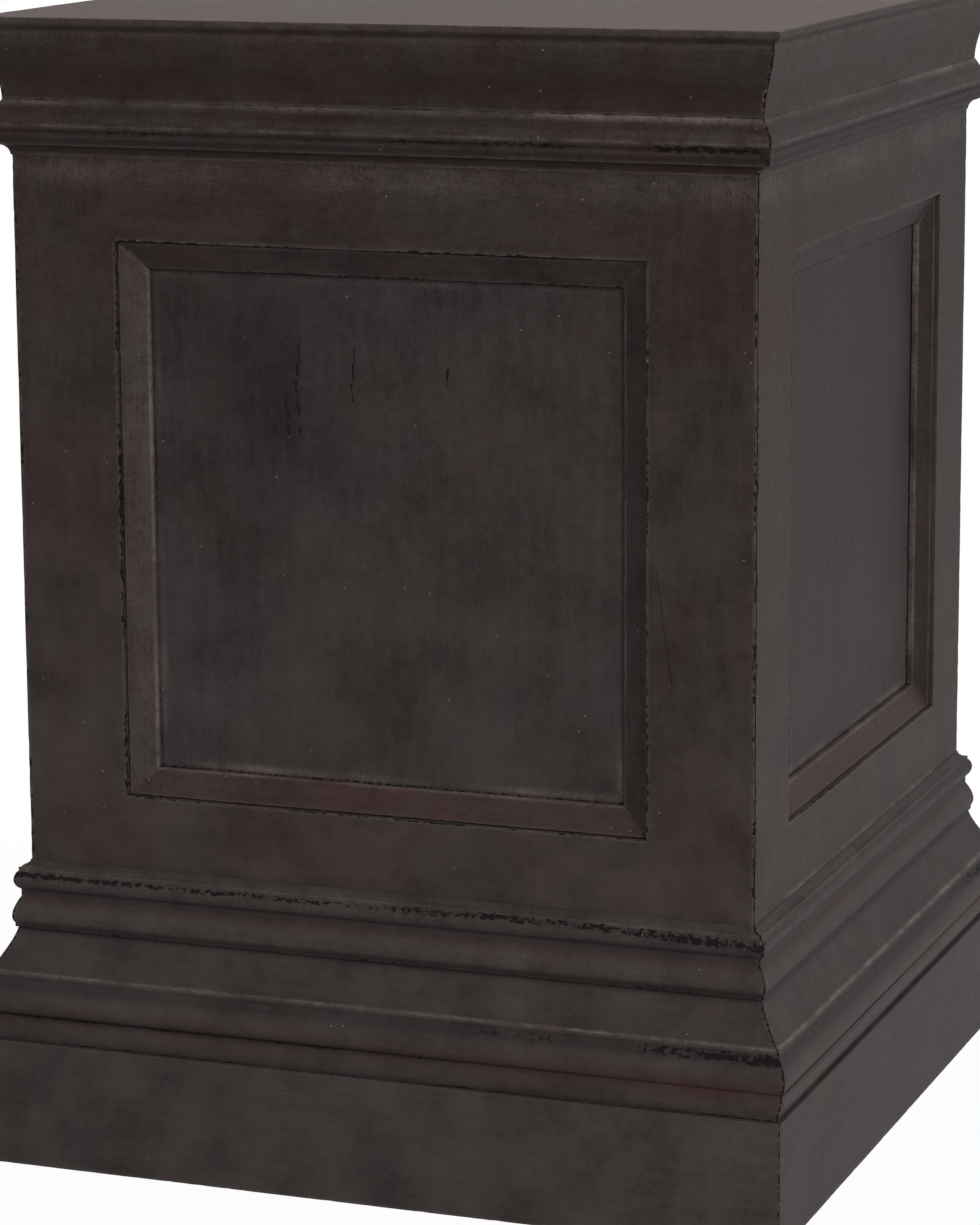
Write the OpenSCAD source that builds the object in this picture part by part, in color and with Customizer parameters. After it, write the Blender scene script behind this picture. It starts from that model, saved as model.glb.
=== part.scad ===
// Square column base of joiner's work: a hollow carcass of stiles, rails and
// sunk panels, with mitred mouldings planted round its head and foot and a
// plinth of plain boards. It stands on z = 0, centred on the origin.

/* [Carcass] */
// Width of the square die, face to face
die_w = 364; // [260:1:560]
// Height over everything
total_h = 552; // [440:1:900]
// Thickness of the stiles and rails
board_t = 20; // [14:0.5:32]
// Width of each stile on its face
stile_w = 52; // [30:1:80]
// Height of the top rail, hidden part included
top_rail_h = 97; // [85:1:150]
// Height of the bottom rail, hidden part included
bottom_rail_h = 184; // [165:1:220]

/* [Top board] */
// Thickness of the top board
top_board_t = 6.4; // [5:0.1:14]
// How far the top board stands out from the die
top_board_out = 12.6; // [8:0.1:24]
// Rounding of the upper edge of the top board
top_edge_r = 2.4; // [0.5:0.1:2.8]
// Setback of the lower edge under the rounded nosing
top_edge_setback = 2.6; // [0.5:0.1:4]

/* [Cap moulding] */
// Height of the cap moulding
cap_h = 32.2; // [22:0.1:50]
// Projection at its upper edge
cap_top_out = 9.2; // [6:0.1:20]
// Projection at its lower edge
cap_foot_out = 2.8; // [1.5:0.1:5]

/* [Neck moulding] */
// Height of the sloping ledge over the bead
neck_ledge_h = 3.4; // [2:0.1:6]
// Height of the bead
neck_bead_h = 12.6; // [10:0.1:20]
// Projection of the bead
neck_bead_out = 7.6; // [6.6:0.1:14]
// Height of the flat band under the bead
neck_band_h = 4.6; // [2:0.1:8]
// Projection of the flat band
neck_band_out = 6.2; // [4:0.1:7.4]
// Depth of the narrow groove between the bead and the band
neck_groove_d = 1.2; // [0.4:0.1:2]
// Height of the cove that runs back to the die
neck_cove_h = 5.4; // [3:0.1:10]

/* [Panels] */
// Thickness of the sunk panels
panel_t = 9; // [6:0.5:14]
// Step from the frame down to the bevelled moulding
outer_step = 2.4; // [1:0.1:4]
// Fall of the bevel across its width
bevel_drop = 5.6; // [2:0.1:9]
// Width of the bevelled moulding on the face
bevel_w = 13.2; // [6:0.1:24]
// Step from the bevelled moulding down to the panel
inner_step = 2.8; // [1:0.1:5]

/* [Base moulding] */
// Height of the lowest round, next to the plinth
torus_h = 13.5; // [8:0.1:24]
// Projection of the lowest round at its foot
torus_foot_out = 15.4; // [10:0.1:17.5]
// Projection of the lowest round at its top
torus_out = 19.2; // [14:0.1:26]
// Depth of the crease over the lowest round
crease_d = 0.7; // [0.3:0.1:1.5]
// Height of the ovolo
ovolo_h = 15.5; // [10:0.1:26]
// Projection of the ovolo
ovolo_out = 20.8; // [18:0.1:30]
// Projection of the ovolo at its upper edge
ovolo_top_out = 17.2; // [15.5:0.1:18]
// Height of the quirk under the fillet
quirk_h = 1.4; // [0.8:0.1:3]
// Projection left at the bottom of the quirk
quirk_out = 14.8; // [12:0.1:15.5]
// Height of the fillet
fillet_h = 3.6; // [2:0.1:8]
// Projection of the fillet
fillet_out = 16.2; // [15.6:0.1:17]
// Height of the flare over the fillet
flare_h = 17; // [10:0.1:30]
// Projection of the flare at its upper end
flare_top_out = 5.2; // [4:0.1:8]
// Height of the step under the bulge
step_h = 2.1; // [1:0.1:4]
// Projection of the step under the bulge
step_out = 6.3; // [5.5:0.1:7]
// Height of the bulge
bulge_h = 15.9; // [10:0.1:26]
// Projection of the bulge
bulge_out = 7.5; // [7:0.1:14]
// Height of the two sunk fillets that part the members
sunk_h = 1.6; // [0.8:0.1:3]
// Projection of the upper sunk fillet
sunk_out = 3.8; // [2.5:0.1:5]
// Height of the bead
bead_h = 10.8; // [6:0.1:18]
// Projection of the bead
bead_out = 6.6; // [5.5:0.1:12]
// Height of the cove that runs back to the die
ledge_h = 5.1; // [3:0.1:10]

/* [Plinth] */
// Height of the plinth boards
plinth_h = 62; // [40:1:110]
// Thickness of the plinth boards
plinth_t = 18; // [12:0.5:30]

/* [Hidden] */
SIDES = ["front", "right", "back", "left"];
SIDE_PIECES = [
    "cap_moulding",
    "neck_moulding",
    "left_stile",
    "right_stile",
    "top_rail",
    "bottom_rail",
    "panel",
    "panel_top_moulding",
    "panel_bottom_moulding",
    "panel_left_moulding",
    "panel_right_moulding",
    "base_moulding",
    "plinth_board"
];

half_w = die_w / 2;
carcass_h = total_h - top_board_t;
opening_half = half_w - stile_w;
opening_top = carcass_h - top_rail_h;
panel_depth = outer_step + bevel_drop + inner_step;
neck_h = neck_cove_h + neck_band_h + neck_bead_h + neck_ledge_h;
cap_foot_z = carcass_h - cap_h;
neck_foot_z = cap_foot_z - neck_h;

// the feather edge left where a cove dies into the face behind it
feather = 0.3;
// points along each curved member of a profile
curve_n = 10;
// shares of their heights at which the ovolo and the bulge stand out furthest
ovolo_peak = 0.4;
bulge_peak = 0.28;
// how far cutting shapes run past what they cut
spare = 1;

black_paint = [0.17, 0.15, 0.145];
worn_paint = [0.23, 0.2, 0.195];

// ---- profiles: x runs outwards from the face of the die, y runs upwards ----

// a hollow quarter round, at a depth below the end where it meets the face
function cove_out(out, rise, depth) = feather + (out - feather) * (1 - sqrt(1 - pow(depth / rise, 2)));

// the upper and lower ends of a curved member, and the points between them
function steps(from, rise) = [for (i = [0:curve_n]) from + rise * i / curve_n];

function arc(cx, cy, r, from, to) = [for (a = steps(from, to - from)) [cx + r * cos(a), cy + r * sin(a)]];

// cyma: hollow below, round above
function cap_profile() = concat(
    [[0, 0]],
    [for (y = steps(0, cap_h))
        [cap_foot_out + (cap_top_out - cap_foot_out) * (1 - cos(180 * y / cap_h)) / 2, y]],
    [[0, cap_h]]
);

function neck_profile() =
    let (
        band_z = neck_cove_h,
        bead_z = band_z + neck_band_h,
        r = neck_bead_h / 2,
        cx = neck_bead_out - r,
        groove_a = -acos((neck_band_out - neck_groove_d - cx) / r)
    )
    concat(
        [[0, 0]],
        [for (y = steps(0, neck_cove_h)) [cove_out(neck_band_out, neck_cove_h, y), y]],
        [[neck_band_out, bead_z]],
        arc(cx, bead_z + r, r, groove_a, 42),
        [[cap_foot_out, neck_h], [0, neck_h]]
    );

// heights of the members of the base moulding over its foot
crease_z = torus_h;
quirk_z = crease_z + ovolo_h;
fillet_z = quirk_z + quirk_h;
flare_z = fillet_z + fillet_h;
step_z = flare_z + flare_h;
bulge_z = step_z + step_h;
sunk_z = bulge_z + bulge_h;
bead_z = sunk_z + sunk_h;
ledge_z = bead_z + bead_h;
base_h = ledge_z + ledge_h;

function torus_points() =
    [for (y = steps(0, torus_h)) [torus_foot_out + (torus_out - torus_foot_out) * sin(90 * y / torus_h), y]];

function ovolo_points() =
    [for (y = steps(0, ovolo_h))
        let (t = (y / ovolo_h - ovolo_peak) / (1 - ovolo_peak))
        [ovolo_out - (ovolo_out - ovolo_top_out) * t * t, crease_z + y]];

function flare_points() =
    [for (y = steps(0, flare_h))
        [flare_top_out + (fillet_out - 1 - flare_top_out) * pow(1 - y / flare_h, 1.3), flare_z + y]];

function bulge_points() =
    [for (y = steps(0, bulge_h))
        let (
            t = y / bulge_h,
            low = (bulge_peak - t) / bulge_peak,
            high = (t - bulge_peak) / (1 - bulge_peak)
        )
        [t < bulge_peak
            ? bulge_out - (bulge_out - step_out) * low * low
            : bulge_out - (bulge_out - sunk_out) * pow(high, 1.6),
            bulge_z + y]];

function bead_points() =
    let (r = bead_h / 2, cx = bead_out - r, sunk_a = -acos((sunk_out - cx) / r))
    arc(cx, bead_z + r, r, sunk_a, 50);

function ledge_points() =
    [for (y = steps(0, ledge_h)) [cove_out(bead_out - 1.8, ledge_h, ledge_h - y), ledge_z + y]];

function base_profile() = concat(
    [[0, 0]],
    torus_points(),
    [[torus_out - crease_d, crease_z]],
    ovolo_points(),
    [[quirk_out, quirk_z], [quirk_out, fillet_z], [fillet_out, fillet_z], [fillet_out, flare_z - 1]],
    flare_points(),
    [[step_out, step_z]],
    bulge_points(),
    [[sunk_out, bead_z]],
    bead_points(),
    ledge_points(),
    [[0, base_h]]
);

// ---- placing ----

module on_side(i) {
    rotate([0, 0, 90 * i])
        children();
}

// all that lies before the front face, out to the mitres at its two ends
module between_mitres() {
    reach = half_w + plinth_t + ovolo_out;
    translate([0, 0, -spare])
        linear_extrude(total_h + 2 * spare)
            polygon([[0, 0], [-reach, -reach], [reach, -reach]]);
}

// a moulding planted on the front face, mitred at both ends
module planted(profile, foot_z, out) {
    reach = half_w + out + spare;
    intersection() {
        translate([reach, -half_w, foot_z])
            rotate([90, 0, -90])
                linear_extrude(2 * reach)
                    polygon(profile);
        between_mitres();
    }
}

// ---- carcass, drawn for the front ----

module left_stile() {
    outer = -half_w;
    inner = -half_w + board_t;
    color(black_paint)
        linear_extrude(carcass_h)
            polygon([[outer, outer], [outer + stile_w, outer], [outer + stile_w, inner], [inner, inner]]);
}

module right_stile() {
    mirror([1, 0, 0])
        left_stile();
}

module rail(height) {
    color(black_paint)
        translate([-opening_half, -half_w, 0])
            cube([2 * opening_half, board_t, height]);
}

module top_rail() {
    translate([0, 0, opening_top])
        rail(top_rail_h);
}

module bottom_rail() {
    rail(bottom_rail_h);
}

// ---- sunk panel and its mitred frame of bevelled mouldings ----

module panel() {
    color(worn_paint)
        translate([-opening_half, -half_w + panel_depth, bottom_rail_h])
            cube([2 * opening_half, panel_t, opening_top - bottom_rail_h]);
}

// a bevelled strip: x runs back from the face, y runs away from the opening
function bevel_profile() = [
    [outer_step, 0],
    [panel_depth, 0],
    [panel_depth, -bevel_w],
    [outer_step + bevel_drop, -bevel_w]
];

// the shape of a strip on the face, its long side along the opening's edge
module strip_outline(length) {
    polygon([
        [-length / 2, 0],
        [length / 2, 0],
        [length / 2 - bevel_w, -bevel_w],
        [-length / 2 + bevel_w, -bevel_w]
    ]);
}

// a strip with its long side upwards and along z = 0
module bevel_strip(length) {
    color(worn_paint)
        intersection() {
            translate([-length / 2, -half_w, 0])
                rotate([90, 0, 90])
                    linear_extrude(length)
                        polygon(bevel_profile());
            translate([0, -half_w + panel_depth + spare, 0])
                rotate([90, 0, 0])
                    linear_extrude(panel_depth + 2 * spare)
                        strip_outline(length);
        }
}

module panel_top_moulding() {
    translate([0, 0, opening_top])
        bevel_strip(2 * opening_half);
}

module panel_bottom_moulding() {
    translate([0, 0, bottom_rail_h])
        mirror([0, 0, 1])
            bevel_strip(2 * opening_half);
}

module panel_right_moulding() {
    translate([opening_half, 0, (bottom_rail_h + opening_top) / 2])
        rotate([0, 90, 0])
            bevel_strip(opening_top - bottom_rail_h);
}

module panel_left_moulding() {
    mirror([1, 0, 0])
        panel_right_moulding();
}

// ---- planted mouldings and plinth ----

module cap_moulding() {
    color(black_paint)
        planted(cap_profile(), cap_foot_z, cap_top_out);
}

module neck_moulding() {
    color(black_paint)
        planted(neck_profile(), neck_foot_z, neck_bead_out);
}

module base_moulding() {
    color(worn_paint)
        planted(base_profile(), plinth_h, ovolo_out);
}

module plinth_board() {
    color(worn_paint)
        planted([[0, 0], [plinth_t, 0], [plinth_t, plinth_h], [0, plinth_h]], 0, plinth_t);
}

// ---- top board, with a rounded nosing on all four edges ----

function nosing_points(half) =
    let (round_z = top_board_t - top_edge_r)
    concat(
        [for (y = steps(0, round_z))
            [half - top_edge_setback * (1 - sqrt(1 - pow(1 - y / round_z, 2))), y]],
        arc(half - top_edge_r, round_z, top_edge_r, 0, 90)
    );

module nosed_bar() {
    half = half_w + top_board_out;
    edge = nosing_points(half);
    translate([0, half + spare, 0])
        rotate([90, 0, 0])
            linear_extrude(2 * (half + spare))
                polygon(concat(edge, [for (i = [len(edge) - 1:-1:0]) [-edge[i].x, edge[i].y]]));
}

module top_board() {
    color(worn_paint)
        translate([0, 0, carcass_h])
            intersection() {
                nosed_bar();
                rotate([0, 0, 90])
                    nosed_bar();
            }
}

// ---- the whole ----

top_board();

for (i = [0:3]) {
    name = SIDES[i];
    on_side(i) cap_moulding();
    on_side(i) neck_moulding();
    on_side(i) left_stile();
    on_side(i) right_stile();
    on_side(i) top_rail();
    on_side(i) bottom_rail();
    on_side(i) panel();
    on_side(i) panel_top_moulding();
    on_side(i) panel_bottom_moulding();
    on_side(i) panel_left_moulding();
    on_side(i) panel_right_moulding();
    on_side(i) base_moulding();
    on_side(i) plinth_board();
}
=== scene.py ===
import math

import bmesh
import bpy
import numpy as np
from mathutils import Matrix, Vector


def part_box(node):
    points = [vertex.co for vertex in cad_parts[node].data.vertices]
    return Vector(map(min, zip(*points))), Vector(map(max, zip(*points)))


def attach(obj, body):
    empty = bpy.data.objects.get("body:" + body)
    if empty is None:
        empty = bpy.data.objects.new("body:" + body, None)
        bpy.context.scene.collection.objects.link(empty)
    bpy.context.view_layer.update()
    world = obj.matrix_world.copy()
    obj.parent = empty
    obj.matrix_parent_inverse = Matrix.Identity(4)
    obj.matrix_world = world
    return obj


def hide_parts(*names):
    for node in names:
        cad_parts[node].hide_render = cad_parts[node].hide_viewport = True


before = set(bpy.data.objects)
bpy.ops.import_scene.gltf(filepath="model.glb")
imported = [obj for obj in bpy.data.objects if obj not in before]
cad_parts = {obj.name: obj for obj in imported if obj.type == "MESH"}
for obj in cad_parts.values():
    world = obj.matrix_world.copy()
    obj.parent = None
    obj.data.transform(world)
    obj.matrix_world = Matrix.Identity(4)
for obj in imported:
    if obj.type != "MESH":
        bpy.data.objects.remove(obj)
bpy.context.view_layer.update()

# ---- Stiles of the die -----------------------------------------------------------------------
# The die is a square box of pine boards. Two stiles stand at each side, 52 by 20 mm, from the
# floor to the cap, mitred to the next side's stile at the corner and glued. The mitres have
# opened a little with age, and each arris has been knocked and rubbed.

SIDES = ("front", "right", "back", "left")

stile_low, stile_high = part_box("front_left_stile")
die_half = -stile_low[0]
opening_half = -stile_high[0]
board_thick = stile_high[1] - stile_low[1]
die_top = stile_high[2]
opening_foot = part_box("front_bottom_rail")[1][2]
opening_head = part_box("front_top_rail")[0][2]
ledge_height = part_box("front_base_moulding")[1][2]
neck_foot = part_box("front_neck_moulding")[0][2]


def add(tree, kind, links=None, **settings):
    """Adds one node. links gives an input, by name or number, a value or another node's output."""
    node = tree.nodes.new(kind)
    for name, value in settings.items():
        setattr(node, name, value)
    for key, value in (links or {}).items():
        if isinstance(value, bpy.types.Node):
            value = value.outputs[0]
        if isinstance(value, bpy.types.NodeSocket):
            tree.links.new(value, node.inputs[key])
        else:
            node.inputs[key].default_value = value
    return node


def linear(colour):
    """A colour written as sRGB hex, turned linear."""
    parts = [int(colour[i:i + 2], 16) / 255 for i in (1, 3, 5)]
    return [c / 12.92 if c <= 0.04045 else ((c + 0.055) / 1.055) ** 2.4 for c in parts] + [1.0]


def eased(corners, cuts):
    """The outline of a board with each arris taken off, its cut in metres back from the corner."""
    outline = []
    count = len(corners)
    for i, cut in enumerate(cuts):
        corner = Vector(corners[i])
        before = corner + (Vector(corners[i - 1]) - corner).normalized() * cut
        after = corner + (Vector(corners[(i + 1) % count]) - corner).normalized() * cut
        for t in (0.0, 1 / 3, 2 / 3, 1.0):
            point = before * (1 - t) ** 2 + corner * 2 * t * (1 - t) + after * t * t
            outline.append((point.x, point.y))
    return outline


def spaced(outline, step, closed=True):
    """Points along an outline, closer together towards both ends of each long straight. The
    straight along its back, which is never seen, is left whole."""
    points = []
    back = min(x for x, y in outline) + 0.0002
    count = len(outline)
    for i in range(count if closed else count - 1):
        start = Vector(outline[i])
        end = Vector(outline[(i + 1) % count])
        pieces = max(1, math.ceil((end - start).length / step * 1.3))
        if (end - start).length < step or max(start.x, end.x) < back:
            pieces = 1
        for k in range(pieces):
            points.append(tuple(start.lerp(end, (1 - math.cos(math.pi * k / pieces)) / 2)))
    if not closed:
        points.append(tuple(outline[-1]))
    return points


def section_mesh(points, closed=True):
    """A section as a loop of edges. Its form attribute says how convex it is at each point, how
    hollow, and how far along the outline the point lies."""
    loop = np.array(points)
    if closed:
        area = np.sum(loop[:, 0] * np.roll(loop[:, 1], -1) - np.roll(loop[:, 0], -1) * loop[:, 1])
        if area < 0:
            loop = loop[::-1]
    count = len(loop)
    ahead = np.roll(loop, -1, axis=0) - loop
    length = np.hypot(ahead[:, 0], ahead[:, 1])
    across = np.concatenate([[0.0], np.cumsum(length)[:-1]])
    total = length.sum()
    heading = np.unwrap(np.arctan2(ahead[:, 1], ahead[:, 0]))
    turn = np.zeros(count)
    for reach in (0.0003, 0.0006, 0.001, 0.0015):
        far = (across + reach) % total
        near = (across - reach) % total
        far_at = heading[np.searchsorted(across, far, side="right") - 1]
        near_at = heading[np.searchsorted(across, near, side="right") - 1]
        turn += (far_at - near_at + math.pi) % (2 * math.pi) - math.pi
    turn = turn / 4 / (math.pi / 2)
    mesh = bpy.data.meshes.new("section")
    edges = [(i, (i + 1) % count) for i in range(count if closed else count - 1)]
    mesh.from_pydata([(x, y, 0.0) for x, y in loop], edges, [])
    form = mesh.attributes.new("form", "FLOAT_VECTOR", "POINT")
    values = np.stack([np.clip(turn, 0, 1), np.clip(-turn, 0, 1), across], axis=1)
    form.data.foreach_set("vector", values.astype(np.float32).ravel())
    return mesh


def made_with(tree, mesh, **inputs):
    """The plain mesh that a node tree makes of a mesh."""
    maker = bpy.data.objects.new("maker", mesh)
    bpy.context.scene.collection.objects.link(maker)
    nodes = maker.modifiers.new("maker", "NODES")
    nodes.node_group = tree
    for item in tree.interface.items_tree:
        if item.in_out == "INPUT" and item.name.replace(" ", "_").lower() in inputs:
            nodes[item.identifier] = inputs[item.name.replace(" ", "_").lower()]
    made = bpy.data.meshes.new_from_object(
        maker.evaluated_get(bpy.context.evaluated_depsgraph_get())
    )
    maker.modifiers.remove(nodes)
    bpy.data.objects.remove(maker)
    bpy.data.meshes.remove(mesh)
    return made


def new_tree(name, inputs, result):
    """An empty Geometry Nodes tree with named inputs and one geometry result."""
    tree = bpy.data.node_groups.new(name, "GeometryNodeTree")
    for label, kind in inputs:
        tree.interface.new_socket(label, in_out="INPUT", socket_type="NodeSocket" + kind)
    tree.interface.new_socket(result, in_out="OUTPUT", socket_type="NodeSocketGeometry")
    return tree


# A length of wood: a section swept along the bench's Z, its stations closer together towards
# the ends, and its ends cut at a mitre that leans with the section's X or Y.
length_of_wood = new_tree("length of wood", (
    ("Section", "Geometry"), ("Half Length", "Float"), ("Mitre Out", "Float"),
    ("Mitre Up", "Float"), ("Stations", "Int"), ("Seed", "Float"), ("Ends", "Bool"),
), "Wood")
t = length_of_wood
given = add(t, "NodeGroupInput").outputs
line = add(t, "GeometryNodeCurvePrimitiveLine", {"Start": (0, 0, -1), "End": (0, 0, 1)})
stations = add(t, "GeometryNodeResampleCurve", {"Curve": line, "Count": given["Stations"]})
place = add(t, "ShaderNodeSeparateXYZ", {0: add(t, "GeometryNodeInputPosition")})
far = add(t, "ShaderNodeMath", {0: place.outputs["Z"]}, operation="ABSOLUTE")
left_over = add(t, "ShaderNodeMath", {0: 1.0, 1: far}, operation="SUBTRACT", use_clamp=True)
crowded = add(t, "ShaderNodeMath", {0: left_over, 1: 1.4}, operation="POWER")
out_to = add(t, "ShaderNodeMath", {0: 1.0, 1: crowded}, operation="SUBTRACT")
side_of = add(t, "ShaderNodeMath", {0: place.outputs["Z"]}, operation="SIGN")
station_z = add(t, "ShaderNodeMath", {0: out_to, 1: side_of}, operation="MULTIPLY")
path = add(t, "GeometryNodeSetPosition", {
    "Geometry": stations, "Position": add(t, "ShaderNodeCombineXYZ", {"Z": station_z}),
})
profile = add(t, "GeometryNodeMeshToCurve", {"Mesh": given["Section"]})
swept = add(t, "GeometryNodeCurveToMesh", {
    "Curve": path, "Profile Curve": profile, "Fill Caps": given["Ends"],
})
at = add(t, "ShaderNodeSeparateXYZ", {0: add(t, "GeometryNodeInputPosition")})
lean_out = add(t, "ShaderNodeMath", {
    0: at.outputs["X"], 1: given["Mitre Out"], 2: given["Half Length"],
}, operation="MULTIPLY_ADD")
lean = add(t, "ShaderNodeMath", {
    0: at.outputs["Y"], 1: given["Mitre Up"], 2: lean_out,
}, operation="MULTIPLY_ADD")
along = add(t, "ShaderNodeMath", {0: at.outputs["Z"], 1: lean}, operation="MULTIPLY")
cut = add(t, "GeometryNodeSetPosition", {
    "Geometry": swept,
    "Position": add(t, "ShaderNodeCombineXYZ", {
        "X": at.outputs["X"], "Y": at.outputs["Y"], "Z": along,
    }),
})
bench_end = add(t, "GeometryNodeStoreNamedAttribute", {
    "Geometry": swept, "Name": "bench_z", "Value": at.outputs["Z"],
}, data_type="FLOAT", domain="POINT")
t.links.new(bench_end.outputs[0], cut.inputs["Geometry"])
bench_z = add(t, "GeometryNodeInputNamedAttribute", {"Name": "bench_z"}, data_type="FLOAT")
left_at_end = add(t, "ShaderNodeMath", {
    0: 1.0, 1: add(t, "ShaderNodeMath", {0: bench_z}, operation="ABSOLUTE"),
}, operation="SUBTRACT")
now_at = add(t, "ShaderNodeSeparateXYZ", {0: add(t, "GeometryNodeInputPosition")})
form = add(t, "GeometryNodeInputNamedAttribute", {"Name": "form"}, data_type="FLOAT_VECTOR")
form_parts = add(t, "ShaderNodeSeparateXYZ", {0: form})
grain = add(t, "GeometryNodeStoreNamedAttribute", {
    "Geometry": cut,
    "Name": "grain",
    "Value": add(t, "ShaderNodeCombineXYZ", {
        "X": now_at.outputs["Z"], "Y": form_parts.outputs["Z"], "Z": given["Seed"],
    }),
}, data_type="FLOAT_VECTOR", domain="POINT")
to_end = add(t, "ShaderNodeMath", {0: left_at_end, 1: lean}, operation="MULTIPLY")
near_end = add(t, "ShaderNodeMapRange", {
    "Value": to_end, "From Min": 0.0022, "From Max": 0.0, "To Min": 0.0, "To Max": 1.0,
}, interpolation_type="SMOOTHSTEP")
ended = add(t, "GeometryNodeStoreNamedAttribute", {
    "Geometry": grain, "Name": "end", "Value": near_end,
}, data_type="FLOAT", domain="POINT")
add(t, "NodeGroupOutput", {0: add(t, "GeometryNodeRealizeInstances", {0: ended})})

# Years of use: the whole surface waves a fraction of a millimetre, as hand-planed wood does,
# and each arris has lost small bites. The wood only ever loses, so no piece grows.
years_of_use = new_tree("years of use", (
    ("Wood", "Geometry"), ("Wave Depth", "Float"), ("Bite Depth", "Float"), ("End Bite", "Float"),
    ("Paint", "Material"),
), "Used")
t = years_of_use
given = add(t, "NodeGroupInput").outputs
here = add(t, "GeometryNodeInputPosition")
wave = add(t, "ShaderNodeTexNoise", {"Vector": here, "Scale": 22.0, "Detail": 2.0})
wave_cut = add(t, "ShaderNodeMath", {0: wave, 1: given["Wave Depth"]}, operation="MULTIPLY")
bites = add(t, "ShaderNodeTexNoise", {"Vector": here, "Scale": 260.0, "Detail": 3.0})
patches = add(t, "ShaderNodeTexNoise", {"Vector": here, "Scale": 14.0, "Detail": 1.0})
bitten = add(t, "ShaderNodeMapRange", {
    "Value": bites, "From Min": 0.5, "From Max": 0.72, "To Min": 0.12, "To Max": 1.0,
}, interpolation_type="SMOOTHSTEP")
patched = add(t, "ShaderNodeMapRange", {
    "Value": patches, "From Min": 0.4, "From Max": 0.62, "To Min": 0.25, "To Max": 1.0,
})
form = add(t, "GeometryNodeInputNamedAttribute", {"Name": "form"}, data_type="FLOAT_VECTOR")
edge = add(t, "ShaderNodeSeparateXYZ", {0: form}).outputs["X"]
end = add(t, "GeometryNodeInputNamedAttribute", {"Name": "end"}, data_type="FLOAT")
mitre_edge = add(t, "ShaderNodeMath", {0: end, 1: given["End Bite"]}, operation="MULTIPLY")
knocked = add(t, "GeometryNodeInputNamedAttribute", {"Name": "knocked"}, data_type="FLOAT")
arris = add(t, "ShaderNodeMath", {
    0: add(t, "ShaderNodeMath", {0: edge, 1: mitre_edge}, operation="MAXIMUM"), 1: knocked,
}, operation="ADD")
bite = add(t, "ShaderNodeMath", {0: bitten, 1: patched}, operation="MULTIPLY")
bite_there = add(t, "ShaderNodeMath", {0: bite, 1: arris}, operation="MULTIPLY")
all_cut = add(t, "ShaderNodeMath", {
    0: bite_there, 1: given["Bite Depth"], 2: wave_cut,
}, operation="MULTIPLY_ADD")
inwards = add(t, "ShaderNodeMath", {0: all_cut, 1: -1.0}, operation="MULTIPLY")
shift = add(t, "ShaderNodeVectorMath", {
    "Vector": add(t, "GeometryNodeInputNormal"), "Scale": inwards,
}, operation="SCALE")
used = add(t, "GeometryNodeSetPosition", {
    "Geometry": given["Wood"], "Offset": shift.outputs["Vector"],
})
painted = add(t, "GeometryNodeSetMaterial", {"Geometry": used, "Material": given["Paint"]})
add(t, "NodeGroupOutput", {0: add(t, "GeometryNodeRealizeInstances", {0: painted})})


def drift(x, seed):
    """A slow, uneven rise and fall along a length, about one."""
    return 1 + 0.35 * np.sin(x * 41 + seed) + 0.25 * np.sin(x * 97 + seed * 3.7) + 0.15 * np.sin(
        x * 233 + seed * 7.1,
    )


def bell(value, middle, width):
    """One at the middle, and nothing two widths away."""
    return np.exp(-((value - middle) / width) ** 2)


def places_of(mesh):
    """Where a mesh's points are, one row each."""
    places = np.zeros(len(mesh.vertices) * 3, np.float32)
    mesh.vertices.foreach_get("co", places)
    return places.reshape(-1, 3)


def fit_piece(
    name, node, slot, wood, side, to_front, paint, stains_and_painted_light=None, wave=0.00012, bite=0.0005,
    end_bite=0.0, knocks=None, flush=None,
):
    """Brings a length of wood from the bench to its place on a side, ages it, and hands it over.
    The function given for its marks returns black, pale, red and shade, from a point's place as on
    the front; painted shadow, highlight and shade are among them."""
    wood.transform(to_front)
    places = places_of(wood)
    hard = knocks(places, side) if knocks else 0.0
    if flush:
        # an edge that lies level with its neighbour, painted over, is neither worn nor rubbed
        shape = np.zeros(places.size, np.float32)
        wood.attributes["form"].data.foreach_get("vector", shape)
        shape[0::3] *= flush(places, side)
        wood.attributes["form"].data.foreach_set("vector", shape)
    knocked = wood.attributes.new("knocked", "FLOAT", "POINT")
    knocked.data.foreach_set("value", (np.zeros(len(places)) + hard).astype(np.float32))
    used = made_with(
        years_of_use, wood, wave_depth=wave, bite_depth=bite, end_bite=end_bite, paint=paint,
    )
    places = places_of(used)
    black, pale, red, shade = stains_and_painted_light(places, side) if stains_and_painted_light else (0.0, 0.0, 0.0, 0.0)
    values = np.zeros_like(places)
    values[:, 0] = black
    values[:, 1] = pale
    values[:, 2] = red
    stain_and_painted_light = used.attributes.new("stain_and_painted_light", "FLOAT_VECTOR", "POINT")
    stain_and_painted_light.data.foreach_set("vector", np.clip(values, 0, 1).ravel())
    ends = np.zeros(len(places), np.float32)
    used.attributes["end"].data.foreach_get("value", ends)
    used.attributes["end"].data.foreach_set("value", ends * min(1.0, end_bite * 1.6))
    shades = used.attributes.new("shade", "FLOAT", "POINT")
    shades.data.foreach_set("value", (np.zeros(len(places)) + shade).astype(np.float32))
    used.transform(Matrix.Rotation(math.pi / 2 * side, 4, "Z"))
    used.shade_smooth()
    used.set_sharp_from_angle(angle=math.radians(50))
    piece = bpy.data.objects.new(name, used)
    bpy.context.scene.collection.objects.link(piece)
    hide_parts(node)
    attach(piece, "root")
    return piece


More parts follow.
